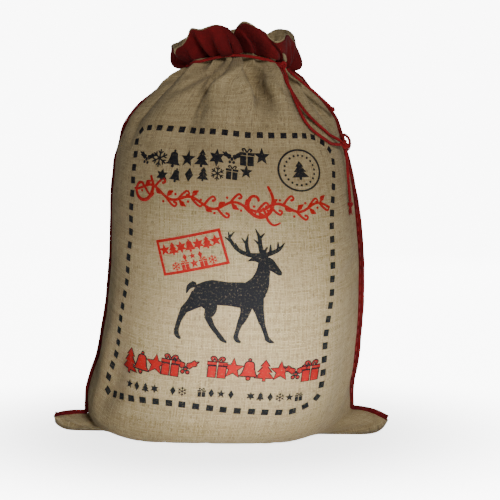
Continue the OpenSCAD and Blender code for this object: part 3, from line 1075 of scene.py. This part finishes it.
def fir_tree():
    right = [
        (0.45, 0.38), (0.24, 0.38), (0.68, -0.18), (0.38, -0.18), (0.88, -0.74), (0.14, -0.74), (0.14, -1),
    ]
    return [np.array([(0, 1)] + right + [(-x, y) for x, y in right[::-1]])]


def bell():
    right = smooth_line([(0, 0.82), (0.38, 0.62), (0.5, 0.05), (0.66, -0.42), (0.92, -0.66)], 4)
    body = np.concatenate([right, (right * (-1, 1))[::-1][:-1]])
    return [body, circle_points(0, 0.9, 0.14, 12), circle_points(0, -0.82, 0.19, 14)]


def gift_box():
    gap, parts = 0.07, []
    for side in (-1, 1):
        for low, high, wide in ((-0.95, 0.12, 0.82), (0.2, 0.52, 0.92)):
            box = ((gap, low), (wide, low), (wide, high), (gap, high))
            parts.append(np.array([(side * x, y) for x, y in box]))
        bow = [(0.05, 0.58), (0.3, 0.92), (0.58, 0.86), (0.42, 0.64)]
        parts.append(stroke([(side * x, y) for x, y in bow], 0.09, 4))
    return parts


def holly():
    leaf = []
    for k in range(25):
        a = 2 * math.pi * k / 24
        spike = 1 + 0.22 * math.cos(6 * a)
        leaf.append((spike * math.cos(a), 0.42 * spike * math.sin(a)))
    leaf = np.array(leaf[:-1]) * 0.62
    parts = [turned(leaf + (0.62, 0), turn) + (0, -0.1) for turn in (28, 152)]
    return parts + [circle_points(x, y, 0.17, 12) for x, y in ((0, -0.22), (-0.24, -0.52), (0.22, -0.54))]


def snowflake():
    parts = []
    for k in range(6):
        parts.append(turned(stroke([(0, 0), (0, 0.98)], 0.09), 60 * k))
        for side in (-1, 1):
            parts.append(turned(stroke([(0, 0.5), (side * 0.3, 0.8)], 0.075), 60 * k))
    return parts


def put(shape, x, y, size, turn=0.0):
    """An ornament of that half height at a place on the cloth."""
    return [turned(part, turn) * size + (x, y) for part in shape]


def border():
    """Squares along a line round the whole design."""
    fine = 1400
    line = through([(x, y, 0) for x, y in BORDER], fine, closed=True)[:, :2]
    round_trip = np.linalg.norm(np.diff(line, axis=0), axis=1).sum()
    count = round(round_trip / SQUARE_PITCH)
    squares = []
    for k in range(count):
        i = int(k * fine / count)
        along = unit(line[(i + 3) % fine] - line[i - 3])
        side = np.array([-along[1], along[0]])
        squares.append(np.array([line[i] + sa * along * SQUARE_LONG / 2 + sb * side * SQUARE_WIDE / 2
                                 for sa, sb in SQUARE]))
    return squares


def row_of(marks, x, y, size, turn=0.0):
    """Ornaments side by side; x and y are the first one's place and the step to the next."""
    return [part for k, mark in enumerate(marks)
            for part in put(mark, x[0] + x[1] * k, y[0] + y[1] * k, size, turn)]


def headline():
    """Two rows of small black ornaments."""
    upper = [holly(), snowflake(), bell(), star(), fir_tree(), star(6, 0.5), holly(), gift_box(), star()]
    lower = [star(6, 0.5), bell(), diamond(), fir_tree(), snowflake(), gift_box(), star()]
    return (row_of(upper, (-120, 22.2), (508, 1.3), 12.4, -3)
            + row_of(lower, (-90, 20.6), (486, 1.8), 9.8, -5))


def round_stamp():
    """Ring of dots and a small fir tree, drawn wide because the cloth turns away there."""
    x, y, wide = 113, 499, 1.16
    ring_out, ring_in = circle_points(x, y, 29.5, 56, wide), circle_points(x, y, 27, 56, wide)
    dots = [circle_points(x + 20.5 * wide * math.cos(a), y + 20.5 * math.sin(a), 1.7, 8)
            for a in np.linspace(0, 2 * math.pi, 21)[:-1]]
    tree = [part * (wide, 1) + (x, y) for part in [p * 13 for p in fir_tree()]]
    return dots + tree, [(ring_out, ring_in)]


def garland_height(x):
    return 450 + 16 * ease(-(x + 10) / 126) - 0.02 * x + 5.5 * math.sin(x / 9.5)


def garland():
    """A red stem of leaves, curls and berries, with two large curls."""
    stem = [(x, garland_height(x)) for x in range(-136, 155, 5)]
    parts = [stroke(stem, [1.7, 2.0, 1.8, 2.0, 1.6], 3)]
    for k in range(15):
        x = -118 + 18.2 * k
        y = garland_height(x)
        up = 1 if k % 2 else -1
        curl = [(x + across, y + up * rise) for across, rise in ((0, 0), (7, 8), (13, 12), (16, 8), (12, 6))]
        parts.append(stroke(curl, [1.8, 1.7, 1.6, 1.4, 1.9], 4))
        parts.append(stroke([(x + 2, y - up), (x + 6, y - up * 6), (x + 11, y - up * 9)], [0.9, 3.7, 0.6], 5))
        parts.append(circle_points(x - 4, y + up * 6.5, 1.8, 10))
    for x, y, size in ((-122, 466, 1.0), (46, 456, 1.2)):
        swirl = [(x + size * r * math.cos(a), y + size * 1.15 * r * math.sin(a))
                 for a, r in [(0.5 + 0.55 * i, 2.5 + 1.55 * i) for i in range(13)]]
        parts.append(stroke(swirl, [1.8, 2.3, 2.6, 1.8], 4))
    tail = [(54, 448), (57, 440), (60, 431), (67, 425), (76, 428)]
    return parts + [stroke(tail, [1.8, 1.8, 1.2], 5)]


def framed_stamp():
    """A tilted red frame with three rows of ornaments."""
    centre, tilt, wide, high, rule = (-45.5, 384), 14.5, 47, 24.5, 1.9
    outer = np.array(SQUARE, float) * (wide, high)
    inner = outer * (1 - 2 * rule / wide, 1 - 2 * rule / high)
    frame_parts = [(turned(outer, tilt) + centre, turned(inner, tilt) + centre)]
    upper = [star(), fir_tree(), star(6, 0.5), bell(), star(6, 0.5), fir_tree(), star()]
    middle = [diamond(), star(), diamond()]
    lower = [snowflake(), gift_box(), star(), gift_box(), snowflake()]
    parts = row_of(upper, (-37, 12.3), (9.8, 0), 8.6)
    parts += row_of(middle, (-11, 11), (-4.2, 0), 4.8)
    parts += row_of(lower, (-26, 13), (-14.6, 0), 6.4)
    return [turned(part, tilt) + centre for part in parts], frame_parts


def big_row():
    """The large red ornaments near the bottom, each with a black outline."""
    marks = [fir_tree(), bell(), star(), gift_box(), holly(), None, gift_box(), star(), bell(), fir_tree(),
             star(), holly(), gift_box()]
    red, black = [], []
    for k, mark in enumerate(marks):
        if mark is None:
            continue
        x = -133 + 20.8 * k
        y = 222 + 8 * math.sin(k * math.pi / 12)
        for part in put(mark, x, y, 14.6 if k else 17.0, -2):
            red.append(part)
            black.append(rim(part, OUTLINE_HALF))
    return red, black


def small_row():
    """A line of small black ornaments under the large ones."""
    kinds = [star(), diamond(), fir_tree(), star(6, 0.5), bell(), diamond(), snowflake(), star(), gift_box(),
             diamond()]
    parts = []
    for k in range(19):
        if k in (4, 7, 12):
            continue
        y = 191 - 0.25 * k + 6 * math.sin(k * math.pi / 18)
        parts += put(kinds[k % len(kinds)], -129 + 12.9 * k, y, 6.2)
    return parts


STAG = [                # brush strokes: places on the cloth and half widths
    ([(-42, 327), (-24, 331), (2, 330), (26, 329), (42, 329)], [13.5, 17, 16, 17.5, 15]),
    ([(32, 330), (45, 344), (52, 362), (55, 377)], [17, 14, 9.5, 8]),
    ([(52, 378), (61, 375), (70, 367), (77, 360)], [7.5, 8, 5.5, 3.4]),
    ([(47, 379), (39, 381), (31, 378)], [3, 2.8, 0.5]),
    ([(-48, 342), (-56, 337), (-60, 328)], [4.5, 3.2, 0.8]),
    ([(-42, 322), (-54, 311), (-64, 303)], [13, 8, 5]), ([(-62, 305), (-69, 289), (-73, 274)], [5.5, 3.4, 3]),
    ([(-73, 275), (-72, 267), (-67, 262)], [3.4, 3.4, 1.8]),
    ([(-30, 322), (-24, 308), (-28, 296)], [14, 9, 5.2]), ([(-28, 297), (-20, 282), (-10, 270)], [5, 3.5, 3]),
    ([(-11, 271), (-6, 265), (0, 261)], [3.4, 3.2, 1.4]),
    ([(28, 322), (25, 303), (19, 289)], [11, 6.5, 4.4]), ([(19, 290), (15, 277), (13, 268)], [4, 2.9, 3]),
    ([(13, 269), (16, 264), (20, 262)], [3.3, 3.1, 1.6]),
    ([(40, 324), (46, 304), (50, 289)], [11, 6.2, 4]), ([(50, 290), (55, 276), (58, 267)], [3.6, 2.9, 3]),
    ([(57, 268), (62, 264), (67, 262)], [3.3, 3, 1.4]),
    ([(50, 386), (33, 387), (17, 394), (7, 407), (4, 419)], [3.6, 3.2, 2.8, 2.4, 0.6]),
    ([(33, 387), (30, 401), (33, 416)], [2.8, 2.6, 0.6]), ([(30, 402), (23, 411)], [2.2, 0.6]),
    ([(8, 405), (-1, 411)], [2.2, 0.6]), ([(5, 411), (13, 419)], [2.2, 0.6]),
    ([(18, 393), (14, 403)], [2.2, 0.8]),
    ([(53, 385), (50, 399), (49, 412), (44, 424)], [3.8, 3.2, 2.6, 0.6]),
    ([(50, 401), (41, 409)], [2.4, 0.6]), ([(49, 410), (57, 418)], [2.4, 0.6]),
    ([(54, 386), (66, 390), (77, 395), (86, 404)], [3.6, 3, 2.5, 0.6]),
    ([(64, 389), (65, 402)], [2.6, 0.7]), ([(76, 395), (76, 406)], [2.4, 0.6]),
    ([(53, 388), (60, 398)], [2.8, 1]),
]


def stag():
    """A walking stag from brush strokes: body, neck, head, legs and antlers."""
    return [stroke([(0.92 * (x + 69) - 62, 0.95 * (y - 262) + 266) for x, y in points], widths)
            for points, widths in STAG]


def inside(points, outline):
    """Which points lie inside a closed outline."""
    x, y = points[:, 0], points[:, 1]
    hit = np.zeros(len(points), bool)
    a, b = outline, np.roll(outline, -1, axis=0)
    for (x0, y0), (x1, y1) in zip(a, b):
        if y0 == y1:
            continue
        crosses = (y0 > y) != (y1 > y)
        hit ^= crosses & (x < (x1 - x0) * (y - y0) / (y1 - y0) + x0)
    return hit


def clusters(shapes):
    """Groups the (outline, hole) shapes whose boxes touch, so that those which overlap are filled as one."""
    lows = np.array([outline.min(axis=0) for outline, _ in shapes])
    highs = np.array([outline.max(axis=0) for outline, _ in shapes])
    group = list(range(len(shapes)))
    for i in range(len(shapes)):
        touching = np.flatnonzero(np.all((lows[i] <= highs) & (lows <= highs[i]), axis=1))
        lowest = min(group[j] for j in touching)
        joined_up = {group[j] for j in touching}
        group = [lowest if g in joined_up else g for g in group]
    return [[shapes[i] for i in range(len(shapes)) if group[i] == g] for g in sorted(set(group))]


def covered(points, shapes):
    hit = np.zeros(len(points), bool)
    for outline, hole in shapes:
        low, high = outline.min(axis=0), outline.max(axis=0)
        near = np.flatnonzero(np.all((points >= low) & (points <= high), axis=1))
        if len(near) == 0:
            continue
        within = inside(points[near], outline)
        if hole is not None:
            within &= ~inside(points[near], hole)
        hit[near] |= within
    return hit


def filled(shapes):
    """Triangles that fill a cluster of shapes, with points inside so that they can follow curved cloth."""
    verts, edges = [], []
    for outline, hole in shapes:
        for loop in (outline, hole):
            if loop is None:
                continue
            pieces = []
            for a, b in zip(loop, np.roll(loop, -1, axis=0)):
                n = max(1, int(np.linalg.norm(b - a) / INK_POINTS))
                pieces.append(a + (b - a) * (np.arange(n) / n)[:, None])
            points = np.concatenate(pieces)
            first = len(verts)
            verts.extend(Vector(p) for p in points)
            edges.extend((first + i, first + (i + 1) % len(points)) for i in range(len(points)))
    low = np.min([outline.min(axis=0) for outline, _ in shapes], axis=0)
    high = np.max([outline.max(axis=0) for outline, _ in shapes], axis=0)
    across = np.arange(low[0] + 0.37, high[0], INK_POINTS)
    upwards = np.arange(low[1] + 0.29, high[1], INK_POINTS)
    gx, gy = np.meshgrid(across, upwards)
    extra = np.stack([gx.ravel(), gy.ravel()], axis=1)
    verts.extend(Vector(p) for p in extra[covered(extra, shapes)])
    points, _, faces, _, _, _ = delaunay_2d_cdt(verts, edges, [], 0, 1e-3)
    points = np.array([tuple(p) for p in points])
    faces = np.array([f for f in faces if len(f) == 3])
    return points, faces[covered(points[faces].mean(axis=1), shapes)]


def ink_triangles(shapes):
    """All the shapes of one ink as triangles, each place inked once."""
    points, faces, shift = [], [], 0
    for cluster in clusters(shapes):
        p, f = filled(cluster)
        points.append(p)
        faces.append(f + shift)
        shift += len(p)
    return np.concatenate(points), np.concatenate(faces)


def rim(outline, half):
    """A line of ink along an outline, as an outline and the hole in it."""
    along = unit(np.roll(outline, -1, axis=0) - np.roll(outline, 1, axis=0))
    side = np.stack([along[:, 1], -along[:, 0]], axis=1) * half
    loops = sorted((outline + side, outline - side), key=lambda loop: np.ptp(loop, axis=0).sum())
    return loops[1], loops[0]


def on_cloth(cloth, normals, flat, lift):
    """Points of the sack's outside at flat places of the front panel."""
    column = (flat[:, 0] + FLAT_W / 2) / SHOWN_CELL
    row = flat[:, 1] / SHOWN_CELL
    i, j = np.floor(row).astype(int), np.floor(column).astype(int)
    fr, fc = (row - i)[:, None], (column - j)[:, None]

    def between(grid):
        return ((grid[i, j] * (1 - fc) + grid[i, j + 1] * fc) * (1 - fr)
                + (grid[i + 1, j] * (1 - fc) + grid[i + 1, j + 1] * fc) * fr)

    return between(cloth) + lift * unit(between(normals))


def add_ink(name, cloth, normals, parts, rings, slot, extra_lift=0.0):
    """A thin film of ink on the front panel, as a closed solid that sinks a little into the cloth."""
    flat, faces = ink_triangles([(np.asarray(part, float), None) for part in parts] + list(rings))
    used = np.unique(faces)
    number = -np.ones(len(flat), int)
    number[used] = np.arange(len(used))
    flat, faces = flat[used], number[faces]
    top = on_cloth(cloth, normals, flat, INK_LIFT + extra_lift)
    bottom = on_cloth(cloth, normals, flat, -INK_SINK)
    a, b, c = (flat[faces[:, i]] for i in range(3))
    area = (b[:, 0] - a[:, 0]) * (c[:, 1] - a[:, 1]) - (b[:, 1] - a[:, 1]) * (c[:, 0] - a[:, 0])
    faces[area < 0] = faces[area < 0][:, ::-1]
    count = len(flat)
    solid = faces.tolist() + (faces[:, ::-1] + count).tolist()
    once = {}
    for face in faces.tolist():
        for p, q in zip(face, face[1:] + face[:1]):
            if (q, p) in once:
                del once[(q, p)]
            else:
                once[(p, q)] = True
    solid += [[q, p, p + count, q + count] for p, q in once]
    both = np.concatenate([flat, flat])
    uvs = [both[v] for face in solid for v in face]
    place(add_mesh(name, np.concatenate([top, bottom]), solid, uvs), "sack", slot)


def add_print(cloth):
    normals = grid_normals(cloth)
    stamp_marks, stamp_ring = round_stamp()
    framed, frame_ring = framed_stamp()
    red_big, outlines = big_row()
    black = border() + headline() + stamp_marks + stag() + small_row()
    add_ink("print_black", cloth, normals, black, stamp_ring, "black_ink")
    add_ink("print_black_outlines", cloth, normals, [], outlines, "black_ink", OUTLINE_LIFT)
    add_ink("print_red", cloth, normals, garland() + framed + red_big, frame_ring, "red_ink")


# ---------------------------------------------------------------- materials
class Paint:
    """A material and short calls for its nodes. Inputs are numbers or other nodes' outputs."""

    def __init__(self, name, **shader):
        self.material = bpy.data.materials.new(name)
        self.material.use_nodes = True
        self.tree = self.material.node_tree
        self.shader = self.tree.nodes["Principled BSDF"]
        for key, value in shader.items():
            self.shader.inputs[key.replace("_", " ")].default_value = value

    def node(self, kind, values=(), **settings):
        """A new node with these settings, and with these values at its first inputs."""
        node = self.tree.nodes.new("ShaderNode" + kind)
        for key, value in settings.items():
            setattr(node, key, value)
        for socket, value in zip(node.inputs, values):
            self.put(socket, value)
        return node

    def put(self, socket, value):
        if isinstance(value, bpy.types.NodeSocket):
            self.tree.links.new(value, socket)
        else:
            socket.default_value = value

    def math(self, operation, a, b=0.0, c=0.0):
        return self.node("Math", (a, b, c), operation=operation).outputs[0]

    def times(self, a, b):
        return self.math("MULTIPLY", a, b)

    def plus(self, a, b):
        return self.math("ADD", a, b)

    def ramp(self, value, low, high, to_low=0.0, to_high=1.0):
        values = (value, low, high, to_low, to_high)
        return self.node("MapRange", values, interpolation_type="SMOOTHSTEP").outputs[0]

    def blend(self, share, a, b):
        node = self.node("Mix", (share,), data_type="RGBA")
        self.put(node.inputs[6], a)
        self.put(node.inputs[7], b)
        return node.outputs[2]

    def vector(self, x, y, z=0.0):
        return self.node("CombineXYZ", (x, y, z)).outputs[0]

    def noise(self, vector, scale=1.0, detail=2.0, rough=0.5):
        node = self.node("TexNoise")
        for key, value in (("Vector", vector), ("Scale", scale), ("Detail", detail), ("Roughness", rough)):
            self.put(node.inputs[key], value)
        return node.outputs["Fac"]

    def random(self, vector):
        return self.node("TexWhiteNoise", (vector,)).outputs["Value"]

    def cloth_place(self):
        """The place on the flat cloth, in millimetres."""
        flat = self.node("UVMap", uv_map="cloth")
        split = self.node("SeparateXYZ", (flat.outputs[0],))
        return split.outputs[0], split.outputs[1]

    def object_place(self):
        return self.node("TexCoord").outputs["Object"]

    def finish(self, colour, height=None, distance=0.0004, strength=0.6):
        self.put(self.shader.inputs["Base Color"], colour)
        if height is not None:
            bump = self.node("Bump")
            for key, value in (("Strength", strength), ("Distance", distance), ("Height", height)):
                self.put(bump.inputs[key], value)
            self.tree.links.new(bump.outputs[0], self.shader.inputs["Normal"])
        return self.material


def weave(paint, pitch_x, pitch_y, wander):
    """Plain weave: flat place, height, how much thread there is, and a tone that differs by thread."""
    x, y = paint.cloth_place()
    sway_x = paint.noise(paint.vector(paint.times(x, 0.16), paint.times(y, 0.03)), 1.0, 2)
    sway_y = paint.noise(paint.vector(paint.times(x, 0.03), paint.times(y, 0.16), 7.0), 1.0, 2)
    u = paint.plus(paint.math("DIVIDE", x, pitch_x), paint.times(sway_x, wander))
    v = paint.plus(paint.math("DIVIDE", y, pitch_y), paint.times(sway_y, wander))
    wave_u = paint.math("SINE", paint.times(u, math.pi))
    wave_v = paint.math("SINE", paint.times(v, math.pi))
    crossing = paint.times(wave_u, wave_v)
    up = paint.times(paint.math("ABSOLUTE", wave_u), paint.math("MULTIPLY_ADD", crossing, 0.38, 0.62))
    across = paint.times(paint.math("ABSOLUTE", wave_v), paint.math("MULTIPLY_ADD", crossing, -0.38, 0.62))
    height = paint.math("MAXIMUM", up, across)
    warp_id, weft_id = paint.math("FLOOR", u), paint.math("FLOOR", v)
    warp_row, weft_row = paint.times(warp_id, 7.31), paint.times(weft_id, 5.83)
    warp_tone = paint.plus(paint.times(paint.random(paint.vector(warp_id, 3.1)), 0.2),
                           paint.noise(paint.vector(warp_row, paint.times(y, 0.07)), 1.0, 3, 0.65))
    weft_tone = paint.plus(paint.times(paint.random(paint.vector(weft_id, 8.7)), 0.2),
                           paint.noise(paint.vector(paint.times(x, 0.07), weft_row, 4.0), 1.0, 3, 0.65))
    on_top = paint.math("GREATER_THAN", up, across)
    tone = paint.plus(paint.times(warp_tone, on_top),
                      paint.times(weft_tone, paint.math("SUBTRACT", 1.0, on_top)))
    return x, y, height, paint.ramp(height, 0.10, 0.36), tone


JUTE_PITCH = (1.9, 2.05)
JUTE_LIGHT = (0.435, 0.340, 0.188, 1)
JUTE_DARK = (0.198, 0.141, 0.062, 1)
# Painted shade: the colour put in the gaps between the threads.
JUTE_GAP_PAINTED_SHADE = (0.055, 0.036, 0.017, 1)
JUTE_PATCH = (0.27, 0.20, 0.11, 1)
JUTE_SPECK = (0.13, 0.09, 0.05, 1)
COTTON_PITCH = (0.9, 0.9 * 1.1)


def jute_colour(paint):
    """Hessian: slubby threads of uneven tone, painted shade in the gaps of the weave, a few brown specks and
    wide soft patches.
    """
    x, y, height, thread, tone = weave(paint, *JUTE_PITCH, 1.3)
    fibre = paint.noise(paint.vector(paint.times(x, 2.3), paint.times(y, 2.3)), 1.0, 2, 0.7)
    share = paint.ramp(paint.plus(tone, paint.times(fibre, 0.35)), 0.45, 1.05)
    colour = paint.blend(share, JUTE_DARK, JUTE_LIGHT)
    patch = paint.noise(paint.object_place(), 9.0, 3, 0.55)
    colour = paint.blend(paint.ramp(patch, 0.35, 0.7, 0.0, 0.35), colour, JUTE_PATCH)
    speck = paint.random(paint.vector(paint.math("FLOOR", paint.math("DIVIDE", x, 2.1)),
                                      paint.math("FLOOR", paint.math("DIVIDE", y, 3.7))))
    colour = paint.blend(paint.ramp(speck, 0.975, 0.99, 0.0, 0.5), colour, JUTE_SPECK)
    # Painted shade: where there is little thread, the colour goes to the dark gap colour, like the shade
    # between the threads.
    colour = paint.blend(thread, JUTE_GAP_PAINTED_SHADE, colour)
    return x, y, thread, colour, paint.plus(height, paint.times(fibre, 0.35))


def jute_material():
    paint = Paint("jute_hessian", Roughness=0.92, Sheen_Weight=0.05, Sheen_Roughness=0.5,
                  Specular_IOR_Level=0.2)
    _, _, _, colour, height = jute_colour(paint)
    return paint.finish(colour, height, 0.0006, 0.75)


def ink_material(name, ink, worn):
    """Screen-printed ink: it lies on the threads, thins out in patches and leaves the gaps of the weave."""
    paint = Paint(name, Roughness=0.8, Specular_IOR_Level=0.18)
    x, y, thread, under, height = jute_colour(paint)
    thin = paint.noise(paint.vector(paint.times(x, 0.35), paint.times(y, 0.35)), 1.0, 4, 0.7)
    cover = paint.times(paint.ramp(thin, 0.30, 0.46, worn, 1.0), paint.ramp(thread, 0.0, 0.6, 0.62, 1.0))
    return paint.finish(paint.blend(cover, under, ink), height, 0.0006, 0.6)


def cotton_material(name, light, dark):
    """Plain red cotton with a fine weave, painted shade in the gaps between its threads, and a slight bloom.
    """
    paint = Paint(name, Roughness=0.86, Sheen_Weight=0.02, Sheen_Roughness=0.4, Specular_IOR_Level=0.18)
    _, _, height, thread, tone = weave(paint, *COTTON_PITCH, 0.6)
    patch = paint.noise(paint.object_place(), 28.0, 3, 0.6)
    share = paint.ramp(paint.plus(paint.times(tone, 0.5), patch), 0.6, 1.25)
    colour = paint.blend(share, dark, light)
    # Painted shade: the gaps of the weave are darkened to 0.4 of the dark red, like the shade between the
    # threads.
    gap = tuple(channel * 0.4 for channel in dark[:3]) + (1,)
    colour = paint.blend(paint.ramp(thread, 0.0, 1.0, 0.45, 0.0), colour, gap)
    return paint.finish(colour, height, 0.0003, 0.5)


def cord_material(name, light, dark):
    """Twisted yarn: fine fibres that wind round each ply."""
    paint = Paint(name, Roughness=0.74, Sheen_Weight=0.04, Sheen_Roughness=0.4, Specular_IOR_Level=0.3)
    x, y = paint.cloth_place()
    slant = paint.plus(paint.times(x, 2.4), paint.times(y, 1.5))
    fibre = paint.noise(paint.vector(slant, paint.times(y, 0.12)), 1.6, 3, 0.6)
    patch = paint.noise(paint.object_place(), 60.0, 2)
    share = paint.ramp(paint.plus(fibre, paint.times(patch, 0.5)), 0.45, 1.0)
    return paint.finish(paint.blend(share, dark, light), fibre, 0.0005, 0.7)


def paint_all():
    """Gives every piece the material of its slot."""
    materials = {
        "jute": jute_material(),
        "red_cloth": cotton_material("red_cotton", (0.170, 0.005, 0.006, 1), (0.080, 0.0022, 0.003, 1)),
        "red_cord": cord_material("red_cord_yarn", (0.31, 0.004, 0.007, 1), (0.11, 0.002, 0.003, 1)),
        "red_thread": cord_material("red_sewing_thread", (0.30, 0.025, 0.022, 1), (0.14, 0.009, 0.009, 1)),
        "black_ink": ink_material("black_print", (0.006, 0.0064, 0.009, 1), 0.72),
        "red_ink": ink_material("red_print", (0.33, 0.008, 0.008, 1), 0.72),
    }
    for piece in scene.objects:
        if piece.type == "MESH" and piece.get("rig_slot") in materials and piece.name not in frame["nodes"]:
            piece.data.materials.clear()
            piece.data.materials.append(materials[piece["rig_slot"]])


# ---------------------------------------------------------------- the whole sack
cloth = pinch_neck(carve(refine(sack), PLEATS_FRONT + CREASES_FRONT))
cloth[..., 2] -= (cloth[..., 2].min() - FLOOR_GAP) * ease(1 - cloth[..., 2] / NEAR_FLOOR)
sack_jute = place(cloth_piece("sack_jute", cloth, CLOTH_T), "sack", "jute", "sack_cloth")
add_frill(frill_grid(cloth[-1]))
add_drawstring(cloth)
add_binding(cloth, "side_binding_left", 0, -1)
add_binding(cloth, "side_binding_right", 2 * COLS, 1)
add_print(cloth)
paint_all()
